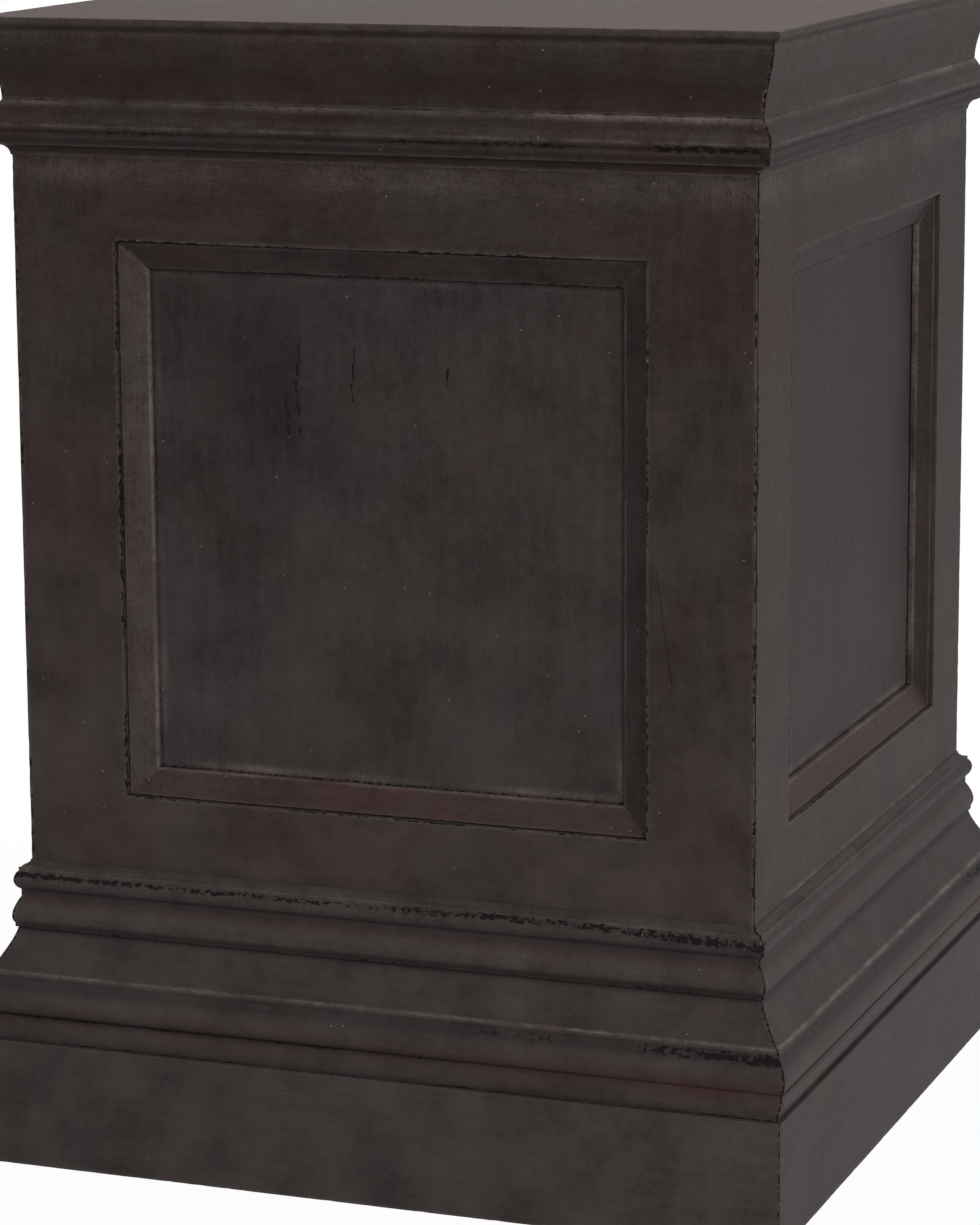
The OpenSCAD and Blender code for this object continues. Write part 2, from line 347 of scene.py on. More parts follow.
def worn_paint(name, red_brown, grey_green, dust, **look):
    """Oil paint on pine, brushed on in two colours, rubbed back and waxed. The eye sees smoky
    clouds of the two colours, brush lines along the grain, black pores, and dusty wax low down."""
    set_to = {
        "cloud_size": 0.075, "brush": 20, "dust_foot": 0.0, "tip": 0.0, "dashes": 0.5,
        "gloss": 0.09, "wax": 0.35, "haze": 0.3, "scratch": None,
    }
    set_to.update(look)
    paint = bpy.data.materials.new(name)
    paint.use_nodes = True
    t = paint.node_tree
    t.nodes.clear()
    place = add(t, "ShaderNodeTexCoord").outputs["Object"]
    height = add(t, "ShaderNodeSeparateXYZ", {0: place}).outputs["Z"]
    grain = add(t, "ShaderNodeAttribute", attribute_name="grain").outputs["Vector"]
    form = add(t, "ShaderNodeSeparateXYZ", {
        0: add(t, "ShaderNodeAttribute", attribute_name="form").outputs["Vector"],
    }).outputs
    stain_and_painted_light = add(t, "ShaderNodeSeparateXYZ", {
        0: add(t, "ShaderNodeAttribute", attribute_name="stain_and_painted_light").outputs["Vector"],
    }).outputs
    shade = add(t, "ShaderNodeAttribute", attribute_name="shade").outputs["Fac"]
    end = add(t, "ShaderNodeAttribute", attribute_name="end").outputs["Fac"]
    # along the grain: brush lines 6 mm wide and 50 to 110 mm long, finer ones of 1 mm by 22 mm,
    # pores of 1.4 mm by 26 mm, drawn wider than real ones to show, and jags 3 mm across
    along_grain = []
    for times, detail, roughness in (
        ((set_to["brush"], 165, 7), 4.0, 0.62), ((45, 950, 7), 4.0, 0.65),
        ((38, 700, 3), 3.0, 0.6), ((330, 420, 5), 3.0, 0.6),
    ):
        stretched = add(t, "ShaderNodeVectorMath", {0: grain, 1: times}, operation="MULTIPLY")
        along_grain.append(add(t, "ShaderNodeTexNoise", {
            "Vector": stretched, "Scale": 1.0, "Detail": detail, "Roughness": roughness,
        }).outputs["Fac"])
    wide_lines, fine_lines, pores, jags = along_grain
    clouds = add(t, "ShaderNodeTexNoise", {
        "Vector": place, "Scale": 1 / set_to["cloud_size"], "Detail": 5.0, "Roughness": 0.58,
        "Distortion": 0.5,
    }).outputs["Fac"]
    shades = add(t, "ShaderNodeTexNoise", {
        "Vector": add(t, "ShaderNodeVectorMath", {0: place, 1: (3.1, 1.7, 5.3)}),
        "Scale": 2.3 / set_to["cloud_size"], "Detail": 4.0, "Roughness": 0.6,
    }).outputs["Fac"]
    mottle = add(t, "ShaderNodeTexNoise", {
        "Vector": place, "Scale": 170.0, "Detail": 4.0, "Roughness": 0.7,
    }).outputs["Fac"]
    grit = add(t, "ShaderNodeTexNoise", {
        "Vector": place, "Scale": 620.0, "Detail": 3.0, "Roughness": 0.75,
    }).outputs["Fac"]
    # two colours in clouds, their border broken up by the brush lines and by grit
    cloud_line = add(t, "ShaderNodeMath", {0: wide_lines, 1: 0.25, 2: clouds}, operation="MULTIPLY_ADD")
    cloud_grit = add(t, "ShaderNodeMath", {0: mottle, 1: 0.5, 2: cloud_line}, operation="MULTIPLY_ADD")
    which = add(t, "ShaderNodeMapRange", {
        "Value": cloud_grit, "From Min": 0.70 - set_to["tip"], "From Max": 1.03 - set_to["tip"],
    }, interpolation_type="SMOOTHSTEP").outputs[0]
    ground = add(t, "ShaderNodeMix", {
        0: which, 6: linear(red_brown), 7: linear(grey_green),
    }, data_type="RGBA").outputs[2]
    # light and dark within each colour, by about a half either way
    tone_range = 0.484
    lines = add(t, "ShaderNodeMath", {0: fine_lines, 1: 0.9, 2: wide_lines}, operation="MULTIPLY_ADD")
    shaded = add(t, "ShaderNodeMath", {0: shades, 1: 1.1, 2: lines}, operation="MULTIPLY_ADD")
    mottled = add(t, "ShaderNodeMath", {0: mottle, 1: 1.1, 2: shaded}, operation="MULTIPLY_ADD")
    gritty = add(t, "ShaderNodeMath", {0: grit, 1: 1.3, 2: mottled}, operation="MULTIPLY_ADD")
    strength = add(t, "ShaderNodeMapRange", {
        "Value": gritty, "From Min": 2.15, "From Max": 3.25,
        "To Min": 1 - tone_range, "To Max": 1 + tone_range,
    }).outputs[0]
    toned = add(t, "ShaderNodeVectorMath", {0: ground, "Scale": strength}, operation="SCALE")
    # dusty wax, thicker low down and in patches
    dust_height = add(t, "ShaderNodeMapRange", {
        "Value": height, "From Min": 0.50, "From Max": 0.02,
        "To Min": 0.0, "To Max": set_to["dust_foot"],
    }).outputs[0]
    dusty_part = add(t, "ShaderNodeMapRange", {
        "Value": shades, "From Min": 0.35, "From Max": 0.68,
        "To Min": 0.35, "To Max": 1.0,
    }).outputs[0]
    haze = add(t, "ShaderNodeMath", {0: dusty_part, 1: set_to["haze"]}, operation="MULTIPLY")
    dust_all = add(t, "ShaderNodeMath", {
        0: dusty_part, 1: dust_height, 2: haze,
    }, operation="MULTIPLY_ADD")
    dusted = add(t, "ShaderNodeMix", {
        0: dust_all, 6: toned.outputs[0], 7: linear(dust),
    }, data_type="RGBA").outputs[2]
    # the dull red undercoat shows in the bands where hands and feet have rubbed
    red_there = add(t, "ShaderNodeMath", {
        0: stain_and_painted_light["Z"],
        1: add(t, "ShaderNodeMapRange", {
            "Value": fine_lines, "From Min": 0.35, "From Max": 0.62, "To Min": 0.35, "To Max": 1.0,
        }),
    }, operation="MULTIPLY")
    reddened = add(t, "ShaderNodeMix", {
        0: red_there, 6: dusted, 7: linear("#40221C"),
    }, data_type="RGBA").outputs[2]
    # pale wax and dust on ledges, in corners and along rubbed arrises, and the painted highlights that
    # some pieces carry on lit ledges and walls
    rub = add(t, "ShaderNodeMath", {0: form["X"], 1: set_to["wax"]}, operation="MULTIPLY")
    waxed = add(t, "ShaderNodeMath", {0: rub, 1: stain_and_painted_light["Y"]}, operation="MAXIMUM")
    ragged = add(t, "ShaderNodeMath", {0: grit, 1: 0.45}, operation="MULTIPLY")
    ragged = add(t, "ShaderNodeMath", {0: mottle, 1: 0.3, 2: ragged}, operation="MULTIPLY_ADD")
    ragged = add(t, "ShaderNodeMath", {0: fine_lines, 1: 0.25, 2: ragged}, operation="MULTIPLY_ADD")
    wax_break = add(t, "ShaderNodeMapRange", {
        "Value": ragged, "From Min": 0.40, "From Max": 0.60, "To Min": 0.3, "To Max": 1.2,
    }).outputs[0]
    chip = add(t, "ShaderNodeMath", {
        0: end,
        1: add(t, "ShaderNodeMapRange", {"Value": ragged, "From Min": 0.50, "From Max": 0.58}),
    }, operation="MULTIPLY")
    pale_broken = add(t, "ShaderNodeMath", {0: waxed, 1: wax_break}, operation="MULTIPLY")
    pale_there = add(t, "ShaderNodeMath", {0: pale_broken, 1: chip}, operation="MAXIMUM")
    # the shade value darkens the colour: painted shade in creases, gaps and on faces turned from the
    # light, and on some pieces darker patches of the paint itself
    shaded_down = add(t, "ShaderNodeMath", {0: 1.0, 1: shade}, operation="SUBTRACT")
    reddened = add(t, "ShaderNodeVectorMath", {0: reddened, "Scale": shaded_down}, operation="SCALE")
    reddened = reddened.outputs[0]
    pale = add(t, "ShaderNodeMix", {
        0: pale_there, 6: reddened, 7: linear("#6C6260"),
    }, data_type="RGBA").outputs[2]
    # black: bitumen in the hollows, with painted shade darkening every concave bend, painted shadow in
    # gaps where a piece carries it, and pores and cracks along the grain
    dash_where = add(t, "ShaderNodeMapRange", {
        "Value": shades, "From Min": 0.46, "From Max": 0.60, "To Min": 0.1,
    }).outputs[0]
    dash_line = add(t, "ShaderNodeMapRange", {
        "Value": pores, "From Min": 0.66, "From Max": 0.74,
    }, interpolation_type="SMOOTHSTEP").outputs[0]
    dash = add(t, "ShaderNodeMath", {0: dash_where, 1: dash_line}, operation="MULTIPLY")
    dash_all = add(t, "ShaderNodeMath", {0: dash, 1: set_to["dashes"]}, operation="MULTIPLY")
    # where the black of a piece's marks and painted shadow is 1 it covers, where it is a half it is
    # torn by jags across the grain
    torn = add(t, "ShaderNodeMath", {0: ragged, 1: jags}, operation="ADD")
    tear = add(t, "ShaderNodeMapRange", {"Value": torn, "From Min": 0.84, "From Max": 1.16}).outputs[0]
    end_stain = add(t, "ShaderNodeMath", {0: end, 1: 0.6}, operation="MULTIPLY")
    stain_black_and_shadow = add(t, "ShaderNodeMath", {0: stain_and_painted_light["X"], 1: end_stain}, operation="MAXIMUM")
    black_edge = add(t, "ShaderNodeMath", {0: tear, 1: stain_black_and_shadow}, operation="ADD")
    black_cover = add(t, "ShaderNodeMapRange", {
        "Value": black_edge, "From Min": 0.88, "From Max": 1.12, "To Max": 0.95,
    }, interpolation_type="SMOOTHSTEP").outputs[0]
    some_black = add(t, "ShaderNodeMapRange", {
        "Value": stain_black_and_shadow, "From Min": 0.1, "From Max": 0.35,
    }).outputs[0]
    bitumen_and_shadow = add(t, "ShaderNodeMath", {0: black_cover, 1: some_black}, operation="MULTIPLY")
    # painted shade: each concave bend of a section is darkened, as shade falls there
    hollow = add(t, "ShaderNodeMath", {0: form["Y"], 1: 0.24}, operation="MULTIPLY")
    black_there = add(t, "ShaderNodeMath", {
        0: add(t, "ShaderNodeMath", {0: bitumen_and_shadow, 1: hollow}, operation="MAXIMUM"), 1: dash_all,
    }, operation="MAXIMUM")
    blackened = add(t, "ShaderNodeMix", {
        0: black_there, 6: pale, 7: linear("#0B0706"),
    }, data_type="RGBA").outputs[2]
    # specks of plaster and wood, half a millimetre across, here and there
    cells = add(t, "ShaderNodeTexVoronoi", {"Vector": place, "Scale": 330.0})
    dot = add(t, "ShaderNodeMapRange", {
        "Value": cells.outputs["Distance"], "From Min": 0.16, "From Max": 0.06,
    }).outputs[0]
    chosen = add(t, "ShaderNodeMath", {
        0: add(t, "ShaderNodeSeparateXYZ", {0: cells.outputs["Color"]}).outputs["X"], 1: 0.985,
    }, operation="GREATER_THAN")
    speck = add(t, "ShaderNodeMath", {0: dot, 1: chosen}, operation="MULTIPLY")
    speck_all = add(t, "ShaderNodeMath", {0: speck, 1: 0.5}, operation="MULTIPLY")
    if set_to["scratch"]:
        # one long thin scratch on the front, from its head to its foot
        head, foot = (Vector((point[0], 0, point[1])) for point in set_to["scratch"])
        way = (foot - head).normalized()
        from_head = add(t, "ShaderNodeVectorMath", {0: place, 1: head}, operation="SUBTRACT")
        run = add(t, "ShaderNodeVectorMath", {0: from_head, 1: way}, operation="DOT_PRODUCT")
        aside = add(t, "ShaderNodeVectorMath", {
            0: from_head, 1: (way.z, 0, -way.x),
        }, operation="DOT_PRODUCT")
        strayed = add(t, "ShaderNodeMath", {
            0: mottle, 1: 0.0008, 2: aside.outputs["Value"],
        }, operation="MULTIPLY_ADD")
        off_line = add(t, "ShaderNodeMath", {
            0: add(t, "ShaderNodeMath", {0: strayed, 1: 0.0004}, operation="SUBTRACT"),
        }, operation="ABSOLUTE")
        line = add(t, "ShaderNodeMapRange", {
            "Value": off_line, "From Min": 0.00035, "From Max": 0.0001, "To Max": 0.75,
        }).outputs[0]
        off_middle = add(t, "ShaderNodeMath", {
            0: add(t, "ShaderNodeMath", {
                0: run.outputs["Value"], 1: (foot - head).length / 2,
            }, operation="SUBTRACT"),
        }, operation="ABSOLUTE")
        within = add(t, "ShaderNodeMath", {
            0: off_middle, 1: (foot - head).length / 2,
        }, operation="LESS_THAN")
        on_front = add(t, "ShaderNodeMath", {
            0: add(t, "ShaderNodeSeparateXYZ", {0: place}).outputs["Y"], 1: -die_half + 0.002,
        }, operation="LESS_THAN")
        cut_line = add(t, "ShaderNodeMath", {0: line, 1: within}, operation="MULTIPLY")
        scratched = add(t, "ShaderNodeMath", {0: cut_line, 1: on_front}, operation="MULTIPLY")
        blackened = add(t, "ShaderNodeMix", {
            0: scratched, 6: blackened, 7: linear("#0B0706"),
        }, data_type="RGBA").outputs[2]
    colour = add(t, "ShaderNodeMix", {
        0: speck_all, 6: blackened, 7: linear("#A2968A"),
    }, data_type="RGBA").outputs[2]
    # relief of brush lines and pores, a tenth of a millimetre deep
    relief = add(t, "ShaderNodeMath", {0: mottle, 1: 0.5, 2: fine_lines}, operation="MULTIPLY_ADD")
    relief_cut = add(t, "ShaderNodeMath", {0: dash_all, 1: -1.0, 2: relief}, operation="MULTIPLY_ADD")
    bump = add(t, "ShaderNodeBump", {
        "Height": relief_cut, "Strength": 0.4, "Distance": 0.0004,
    })
    rough = add(t, "ShaderNodeMapRange", {
        "Value": shaded, "From Min": 1.0, "From Max": 2.0,
        "To Min": 0.5, "To Max": 0.7,
    }).outputs[0]
    surface = add(t, "ShaderNodeBsdfPrincipled", {
        "Base Color": colour, "Roughness": rough, "IOR": 1.45, "Specular IOR Level": set_to["gloss"],
        "Normal": bump,
    })
    add(t, "ShaderNodeOutputMaterial", {"Surface": surface})
    return paint


# Oil paint on pine boards, brushed up and down: smoky red-brown and grey-green, close to black.
frame_paint = worn_paint(
    "worn_oil_paint_waxed_frame", "#2A1F1C", "#2B2523", "#433C3A", dust_foot=0.95, haze=0.1,
    scratch=((0.1347, 0.3088), (0.1423, 0.2566)),
)

ALONG_Z = Matrix(((0, 1, 0, 0), (-1, 0, 0, 0), (0, 0, 1, 0), (0, 0, 0, 1)))
ALONG_X = Matrix(((0, 0, -1, 0), (-1, 0, 0, 0), (0, 1, 0, 0), (0, 0, 0, 1)))
# the mitre stands open at the face, and is shut tight by glue at the back
corner_gap = 0.00014
glue_overlap = 0.0005
# only the arris at the corner of the die is much rounded; a rail meets the next one level
stile_arrises = (0.0009, 0.00006, 0.0003, 0.0003)


def frame_stains_and_painted_light(p, side):
    """Dusty smudges under the neck moulding, a dusty foot, and black at the opening's edge: painted
    shadow in the gap there, with dirt, and less on the right face's lit edge. A pale line on the
    ledge, on the right face only, is a painted highlight, and the die is painted darker just
    under the neck moulding as shade.
    """
    x = np.abs(p[:, 0])
    z = p[:, 2]
    face = p[:, 1] < -die_half + 0.0012
    uneven = drift(p[:, 0], side * 2.0 + 1)
    pale = 0.17 * uneven * bell(z, neck_foot - 0.006, 0.007)
    # a pale line at the ledge on the right face only, the lit one: painted highlight
    pale += 0.7 * (side == 1) * drift(p[:, 0] * 1.5, 2.0) * bell(z, ledge_height - 0.0005, 0.0012)
    beside = np.maximum(x - opening_half, np.maximum(opening_foot - z, z - opening_head))
    # black in the gap at the opening's edge: painted shadow with dirt, less on the right face's lit
    # edge
    lit_edge = (side == 1) * (p[:, 0] > 0) * (x - opening_half < 0.003)
    black = (0.54 - 0.44 * lit_edge) * drift(p[:, 0] + z, side * 3.0) * bell(beside, 0.0, 0.0009)
    corner = 0.38 * drift(z * 1.7, side * 5.0 + 2) * bell(x, die_half - 0.0012, 0.0009)
    return (
        np.where(face, np.maximum(black, corner), 0.06), np.where(face, pale, 0.0), 0.0,
        # painted shade just under the neck moulding
        0.12 * bell(z, neck_foot, 0.0015),
    )


def frame_joints(p, side):
    """Nothing where a stile meets a rail, above and below the opening, and one elsewhere."""
    at_joint = np.abs(np.abs(p[:, 0]) - opening_half) < 0.002
    beyond = (p[:, 2] > opening_head + 0.001) | (p[:, 2] < opening_foot - 0.001)
    return np.where(at_joint & beyond, 0.0, 1.0)


for side, side_name in enumerate(SIDES):
    for hand, hand_name in ((-1, "left"), (1, "right")):
        corners = [
            (0.0, hand * (die_half - corner_gap)),
            (0.0, hand * (opening_half - 0.00006)),
            (-board_thick, hand * (opening_half - 0.00006)),
            (-board_thick, hand * (die_half - board_thick + glue_overlap)),
        ]
        seed = side * 10.0 + hand + 3
        stile = made_with(
            length_of_wood, section_mesh(spaced(eased(corners, stile_arrises), 0.004)),
            half_length=die_top / 2, stations=170, seed=seed, ends=True,
        )
        node = f"{side_name}_{hand_name}_stile"
        to_front = Matrix.Translation((0, -die_half, die_top / 2)) @ ALONG_Z
        fit_piece(
            "worn_" + node, node, "painted_frame", stile, side, to_front, frame_paint, frame_stains_and_painted_light,
            flush=frame_joints,
        )

# ---- Rails of the die ------------------------------------------------------------------------
# A top and a bottom rail of the same pine tie each pair of stiles, tongued between them. The
# bottom rail is deep, because the base mouldings are planted over its lower part. The joints
# with the stiles show as hairlines through the paint.

for side, side_name in enumerate(SIDES):
    for number, rail_name in enumerate(("bottom_rail", "top_rail")):
        node = f"{side_name}_{rail_name}"
        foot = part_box(node)[0][2]
        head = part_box(node)[1][2]
        corners = [
            (0.0, 0.0), (0.0, head - foot), (-board_thick, head - foot), (-board_thick, 0.0),
        ]
        rail = made_with(
            length_of_wood, section_mesh(spaced(eased(corners, (0.0003,) * 4), 0.0044)),
            half_length=opening_half + 0.00006, stations=90, seed=side * 10.0 + number + 6,
            ends=True,
        )
        to_front = Matrix.Translation((0, -die_half, foot)) @ ALONG_X
        fit_piece(
            "worn_" + node, node, "painted_frame", rail, side, to_front, frame_paint, frame_stains_and_painted_light,
        )

# ---- Panels ----------------------------------------------------------------------------------
# A flat pine panel, 9 mm thick, fills each frame from behind, its grain upright. It is the
# greenest and dustiest of the painted faces, with black drying cracks and pores in clusters.

panel_paint = worn_paint(
    "worn_oil_paint_waxed_panel", "#2B2221", "#2C2827", "#484240", dust_foot=0.6, haze=0.14,
    dashes=0.35, brush=9, cloud_size=0.1, tip=0.035,
)
strip_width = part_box("front_panel_left_moulding")[1][0] + opening_half
# where the front panel has cracked along its grain: how far right, and the foot and head
PANEL_CRACKS = (
    (-0.0432, 0.352, 0.411), (-0.0490, 0.350, 0.382), (-0.0155, 0.374, 0.404), (0.0310, 0.382, 0.400),
)
sight_half = opening_half - strip_width
sight_foot = opening_foot + strip_width
sight_head = opening_head - strip_width


def panel_stains_and_painted_shade(p, side):
    """Black in the corner where the panel meets its mouldings, a painted shadow, and wax just inside
    it. The front panel has four drying cracks, dotted black, where the boards of the panel have
    moved. The right side's panel is painted darker all over, painted shade for its recess."""
    x = p[:, 0]
    z = p[:, 2]
    edge = np.minimum(sight_half - np.abs(x), np.minimum(z - sight_foot, sight_head - z))
    low = np.clip((0.30 - z) / 0.1, 0, 1)
    # black in the corner at the mouldings: painted shadow
    black = 0.75 * bell(edge, 0.0, 0.0008)
    pale = (0.07 + 0.2 * low) * drift(x + z, side + 2.0) ** 2 * bell(edge, 0.0022, 0.0018)
    if side == 0:
        for crack_x, crack_foot, crack_head in PANEL_CRACKS:
            wander = crack_x + 0.0007 * np.sin(z * 160) + 0.0003 * np.sin(z * 700)
            inside = np.clip(np.minimum(z - crack_foot, crack_head - z) / 0.006, 0, 1)
            dotted = 0.8 + 0.3 * np.sin(z * 1900 + crack_x * 900) + 0.2 * np.sin(z * 630)
            black = np.maximum(black, inside * dotted * bell(x, wander, 0.0006))
    # the right side's panel darker all over: painted shade for its recess
    shade = 0.3 * bell(x, -0.06, 0.035) * bell(z, 0.38, 0.06) * (side == 0) + 0.13 * (side == 1)
    return black, pale, 0.0, shade


for side, side_name in enumerate(SIDES):
    node = f"{side_name}_panel"
    low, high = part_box("front_panel")
    half_high = (high[2] - low[2]) / 2
    corners = [
        (-die_half - low[1], high[0]), (-die_half - high[1], high[0]),
        (-die_half - high[1], low[0]), (-die_half - low[1], low[0]),
    ]
    outline = spaced(corners, 0.0036 if side == 0 else 0.0045)
    if side == 0:
        # the cracks are narrower than the mesh, so it is finer where they run
        face = [(corners[0][0], crack[0] + 0.0003 * i) for crack in PANEL_CRACKS for i in range(-5, 6)]
        front_row = sorted(
            [point for point in outline if abs(point[0] - corners[0][0]) < 1e-7] + face,
            key=lambda point: -point[1],
        )
        outline = [point for point in outline if abs(point[0] - corners[0][0]) >= 1e-7] + front_row
    panel = made_with(
        length_of_wood, section_mesh(outline),
        half_length=half_high, stations=170 if side == 0 else 140, seed=side * 10.0 + 9, ends=True,
    )
    to_front = Matrix.Translation((0, -die_half, low[2] + half_high)) @ ALONG_Z
    fit_piece(
        "worn_" + node, node, "painted_panel", panel, side, to_front, panel_paint, panel_stains_and_painted_shade,
        wave=0.0003, bite=0.0,
    )

# ---- Panel mouldings -------------------------------------------------------------------------
# Four bevelled strips, 13 mm wide, are mitred and pinned round each panel. They slope from just
# below the frame's face down to a small step at the panel; wax lies in their corners.

strip_paint = worn_paint(
    "worn_oil_paint_waxed_bevel", "#2D2220", "#2E2927", "#463E3C", dust_foot=0.4, haze=0.15,
    dashes=0.3, wax=0.28,
)
outer_step = 0.0024
inner_step = 0.0028
low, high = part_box("front_panel_left_moulding")
panel_depth = high[1] + die_half


def strip_stains_and_painted_light(p, side):
    """Black where the strip meets the frame, painted shadow in the gap there with dirt, less on the
    right face's lit wall, and black under the top strip's inner edge, a painted shadow. Wax along
    the step at the panel and on the mitres. The left and bottom strips, turned to the light, are
    painted paler and the top and right ones darker, and the right face's lit wall paler: painted
    light and shade, with wear on that wall."""
    x = p[:, 0]
    z = p[:, 2]
    edge = np.minimum(opening_half - np.abs(x), np.minimum(z - opening_foot, opening_head - z))
    inner = strip_width - edge
    down = np.minimum(z - opening_foot, opening_head - z)
    in_from_side = opening_half - np.abs(x)
    left_part = np.clip(1 - (x + opening_half - down) / 0.001, 0, 1)
    foot_part = np.clip(1 - (z - opening_foot - in_from_side) / 0.001, 0, 1)
    head_part = np.clip(1 - (opening_head - z - in_from_side) / 0.001, 0, 1)
    right_part = np.clip(1 - (opening_half - x - down) / 0.001, 0, 1)
    uneven = drift(x + z, side + 4.0)
    lit_wall = right_part * (side == 1)
    # painted shadow, with dirt: black in the gap at the frame, less on the right face's lit wall, and
    # under the top strip's inner edge
    black = (0.62 - 0.56 * lit_wall) * drift(x + z, side) ** 0.5 * bell(edge, 0.0003, 0.0006)
    black += 0.6 * head_part * uneven * bell(inner, 0.0001, 0.0007)
    pale = 0.45 * uneven * bell(inner, 0.0002, 0.0007) * (1 - head_part)
    pale = pale + 0.4 * bell(in_from_side - down, 0.0, 0.0006)
    # paler on the right face's lit wall: painted highlight, with wear
    pale = pale + 0.4 * lit_wall * uneven * bell(edge, 0.0009, 0.0006)
    # painted light: the left strip faces the light from the right and the bottom one the light from
    # above
    pale = pale + 0.11 * left_part + 0.04 * foot_part
    # painted shade on the top and right strips, more on the right face
    shade = 0.22 * head_part + (0.15 + 0.2 * (side == 1)) * right_part
    return black, pale, 0.3 * foot_part * drift(x, side + 1.0), shade


for side, side_name in enumerate(SIDES):
    for number, (strip_name, hand) in enumerate(
        (("bottom", 1), ("top", -1), ("left", 1), ("right", -1))
    ):
        corners = [
            (-outer_step, hand * 0.0003), (-panel_depth, hand * 0.0003),
            (-panel_depth, hand * strip_width), (inner_step - panel_depth, hand * strip_width),
        ]
        upright = strip_name in ("left", "right")
        half = (opening_head - opening_foot) / 2 if upright else opening_half
        strip = made_with(
            length_of_wood, section_mesh(spaced(eased(corners, (0.0004,) * 4), 0.0016)),
            half_length=half - 0.00012, mitre_up=-1.0 * hand, stations=90,
            seed=side * 10.0 + number + 20, ends=True,
        )
        if upright:
            middle = (opening_head + opening_foot) / 2
            to_front = Matrix.Translation((-hand * opening_half, -die_half, middle)) @ ALONG_Z
        else:
            foot = opening_foot if hand > 0 else opening_head
            to_front = Matrix.Translation((0, -die_half, foot)) @ ALONG_X
        node = f"{side_name}_panel_{strip_name}_moulding"
        fit_piece(
            "worn_" + node, node, "painted_bevel", strip, side, to_front, strip_paint, strip_stains_and_painted_light,
            wave=0.0001, bite=0.0004, end_bite=0.25,
        )

# ---- Neck moulding ---------------------------------------------------------------------------
# A band with a bead over it runs round the die below the cap, planted on and mitred at the
# corners. The bead is rubbed grey on top and ragged black below, and the band under it is painted
# darker as shade.

moulding_paint = worn_paint(
    "worn_oil_paint_rubbed_moulding", "#2B201E", "#2A2523", "#3E3635", haze=0.12, dashes=0.4,
    wax=0.3, cloud_size=0.06,
)


def arc(centre_x, centre_y, radius, start, end, count):
    """Points of an arc, its angles in degrees."""
    return [
        (
            centre_x + radius * math.cos(math.radians(start + (end - start) * i / count)),
            centre_y + radius * math.sin(math.radians(start + (end - start) * i / count)),
        )
        for i in range(count + 1)
    ]


def cove_out(out, rise, depth):
    """How far a cove stands out, depth below the end where it meets the face."""
    return 0.0003 + (out - 0.0003) * (1 - math.sqrt(max(0.0, 1 - (depth / rise) ** 2)))


def planted(node, slot, outline, foot, side, seed, paint, stains_and_painted_light, **use):
    """A length of moulding planted on the die's face and mitred at both corners."""
    closed_outline = [(0.0, outline[0][1])] + outline + [(0.0, outline[-1][1])]
    wood = made_with(
        length_of_wood, section_mesh(spaced(closed_outline, 0.0011)),
        half_length=die_half - 0.0001, mitre_out=1.0, stations=150, seed=seed, ends=True,
    )
    to_front = Matrix.Translation((0, -die_half, foot)) @ ALONG_X
    return fit_piece(
        "worn_" + node, node, slot, wood, side, to_front, paint, stains_and_painted_light, end_bite=0.6, **use,
    )


cap_foot_out = 0.0028
neck_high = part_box("front_neck_moulding")[1][2] - neck_foot
bead_high = 0.0126
cove_high = 0.0054
band_out = 0.0062
bead_foot = cove_high + 0.0046
bead_middle = 0.0076 - bead_high / 2
groove = -math.degrees(math.acos((band_out - 0.0007 - bead_middle) / (bead_high / 2)))
neck_outline = [(cove_out(band_out, cove_high, cove_high * i / 6), cove_high * i / 6) for i in range(7)]
neck_outline.append((band_out, bead_foot))
neck_outline += arc(bead_middle, bead_foot + bead_high / 2, bead_high / 2, groove, 42, 16)
neck_outline.append((cap_foot_out, neck_high))


def neck_stains_and_painted_shade(p, side):
    """A ragged black line under the bead, a dark band below it, which is painted shade, and dust on
    the ledge over the bead.
    """
    x = p[:, 0]
    z = p[:, 2] - neck_foot
    right = np.clip(x / 0.17, 0, 1)
    ragged_line = bell(z, bead_foot + 0.0021, 0.0012 + 0.0009 * right)
    black = (0.3 + 0.34 * right) * drift(x, side * 2.0) * ragged_line
    pale = (0.3 + 0.45 * right) * drift(x, side + 3.0) * bell(z, neck_high - 0.0008, 0.0016)
    pale += 0.3 * drift(x * 3, side + 1.0) * bell(z, bead_foot + 0.0046, 0.0008)
    pale += 0.1 * right * bell(z, bead_foot + 0.007, 0.004)
    # the last value darkens the band and cove under the bead: painted shade
    return black, pale, 0.12 * bell(z, 0.004, 0.004), 0.5 * bell(z, 0.0065, 0.0034)


for side, side_name in enumerate(SIDES):
    planted(
        f"{side_name}_neck_moulding", "painted_moulding", neck_outline, neck_foot, side,
        side * 10.0 + 31, moulding_paint, neck_stains_and_painted_shade,
    )

# a scab of old dark filler stands proud under the bead at the near corner
scab = bmesh.new()
bmesh.ops.create_icosphere(scab, subdivisions=4, radius=1.0)
for vert in scab.verts:
    squared = max(abs(c) for c in vert.co) ** 0.6
    vert.co = vert.co / squared
    vert.co.x = vert.co.x * 0.0026 * (1 + 0.12 * math.sin(vert.co.z * 5))
    vert.co.y = vert.co.y * 0.0026 * (1 + 0.12 * math.sin(vert.co.z * 4 + 1))
    vert.co.z = vert.co.z * 0.0036 * (1 + 0.15 * math.sin(vert.co.x * 900))
    vert.co += Vector((die_half + 0.0046, -die_half - 0.0046, neck_foot + bead_foot + 0.0016))
scab_mesh = bpy.data.meshes.new("scab")
scab.to_mesh(scab_mesh)
scab.free()
scab_mesh.shade_smooth()
